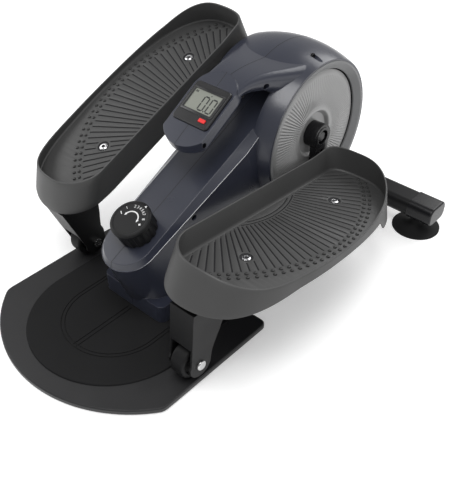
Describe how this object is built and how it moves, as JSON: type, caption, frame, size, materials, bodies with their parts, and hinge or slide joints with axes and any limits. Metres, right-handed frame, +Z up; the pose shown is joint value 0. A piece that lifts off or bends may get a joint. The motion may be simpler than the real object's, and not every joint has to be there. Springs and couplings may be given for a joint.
{
  "type": "under-desk stair climber",
  "caption": "Low seated stair climber: a round crank housing carries two rimmed foot trays whose heel rollers run on a floor plate, with a console, a tension knob and a front bar.",
  "frame": {"origin": "on the floor, under the middle of the machine", "axes": "+X to the seated user's right, +Y away from the user towards the drum, +Z up"},
  "size_m": [0.456, 0.642, 0.3059],
  "materials": {
    "housing": "glossy slate moulded plastic",
    "tray": "fine matt moulded plastic",
    "beam_black": "satin black powder coat",
    "frame_black": "satin black powder coat",
    "steel": "turned steel",
    "chrome_bits": "bright chrome",
    "disc_silver": "satin silver",
    "ring_grey": "light grey moulded plastic",
    "roller_black": "hard rubber tyre",
    "soft_black": "soft black rubber",
    "plate_grey": "fine textured black coat",
    "cap_black": "moulded end cap",
    "knob_black": "moulded knob",
    "meter_black": "smooth moulded case",
    "lcd": "grey liquid crystal panel",
    "button_red": "red key",
    "pulley_plastic": "moulded nylon",
    "cast": "turned iron",
    "bush_plastic": "white nylon"
  },
  "bodies": {
    "base": {"main_frame": "frame_black", "crank_bearing_right": "steel", "crank_bearing_left": "steel", "flywheel_axle": "steel", "brake_pivot_pin": "steel", "knob_bush": "bush_plastic", "drive_belt": "soft_black", "housing_left": "housing", "housing_right": "housing", "housing_screws": "steel", "disc_ring_left": "ring_grey", "disc_ring_right": "ring_grey", "meter_case": "meter_black", "meter_display": "lcd", "floor_plate": "plate_grey", "floor_mat": "soft_black", "plate_underlay": "soft_black", "plate_screws": "steel", "front_tube": "frame_black", "tube_cap_left": "cap_black", "tube_cap_right": "cap_black", "suction_foot_left": "soft_black", "suction_foot_right": "soft_black", "frame_bolts": "steel", "washers": "steel", "dome_nuts": "chrome_bits"},
    "crank": {"crank_axle": "steel", "drive_pulley": "pulley_plastic", "crank_arm_right": "beam_black", "crank_arm_left": "beam_black", "crank_bolt_right": "steel", "crank_bolt_left": "steel", "pedal_pin_right": "steel", "pedal_pin_left": "steel", "disc_cover_right": "disc_silver", "disc_cover_left": "disc_silver"},
    "pedal_right": {"tray_right": "tray", "beam_right": "beam_black", "tray_screws_right": "steel", "pin_bush_right": "bush_plastic", "roller_axle_right": "steel"},
    "pedal_left": {"tray_left": "tray", "beam_left": "beam_black", "tray_screws_left": "steel", "pin_bush_left": "bush_plastic", "roller_axle_left": "steel"},
    "roller_right": {"roller_right": "roller_black"},
    "roller_left": {"roller_left": "roller_black"},
    "flywheel": {"flywheel": "cast", "flywheel_pulley": "pulley_plastic", "flywheel_bearings": "steel"},
    "brake_arm": {"brake_arm": "frame_black", "brake_magnets": "steel"},
    "tension_knob": {"tension_knob": "knob_black", "knob_spindle": "steel"},
    "reset_button": {"reset_button": "button_red"}
  },
  "joints": [
    {"name": "crank_turn", "type": "hinge", "parent": "base", "child": "crank", "pos_m": [0, 0.168, 0.166], "axis": [-1, 0, 0], "range_deg": [0, 180]},
    {"name": "pedal_right_pivot", "type": "hinge", "parent": "crank", "child": "pedal_right", "pos_m": [0.139, 0.16535, 0.09005], "axis": [1, 0, 0], "range_deg": [-1, 181]},
    {"name": "pedal_left_pivot", "type": "hinge", "parent": "crank", "child": "pedal_left", "pos_m": [-0.139, 0.17065, 0.24195], "axis": [1, 0, 0], "range_deg": [-1, 181]},
    {"name": "roller_right_spin", "type": "hinge", "parent": "pedal_right", "child": "roller_right", "pos_m": [0.139, -0.17808, 0.0328], "axis": [1, 0, 0], "continuous": true},
    {"name": "roller_left_spin", "type": "hinge", "parent": "pedal_left", "child": "roller_left", "pos_m": [-0.139, -0.10768, 0.0328], "axis": [1, 0, 0], "continuous": true},
    {"name": "flywheel_spin", "type": "hinge", "parent": "base", "child": "flywheel", "pos_m": [-0.002, 0.005, 0.104], "axis": [-1, 0, 0], "range_deg": [-5, 905]},
    {"name": "tension_knob_turn", "type": "hinge", "parent": "base", "child": "tension_knob", "pos_m": [0, -0.1254, 0.12732], "axis": [0, -0.4226, 0.9063], "range_deg": [0, 300]},
    {"name": "brake_arm_swing", "type": "hinge", "parent": "base", "child": "brake_arm", "pos_m": [-0.002, -0.0711, 0.10079], "axis": [1, 0, 0], "range_deg": [0, 7.5]},
    {"name": "reset_button_press", "type": "slide", "parent": "base", "child": "reset_button", "axis": [0, 0.5299, -0.848], "range_m": [0, 0.001], "stiffness_N_per_m": 300, "springref_m": -0.0005}
  ],
  "couplings": [
    {"joint": "pedal_right_pivot", "follows": "crank_turn", "ratio": 1},
    {"joint": "pedal_left_pivot", "follows": "crank_turn", "ratio": 0.819},
    {"joint": "flywheel_spin", "follows": "crank_turn", "ratio": 5},
    {"joint": "brake_arm_swing", "follows": "tension_knob_turn", "ratio": 0.025}
  ]
}
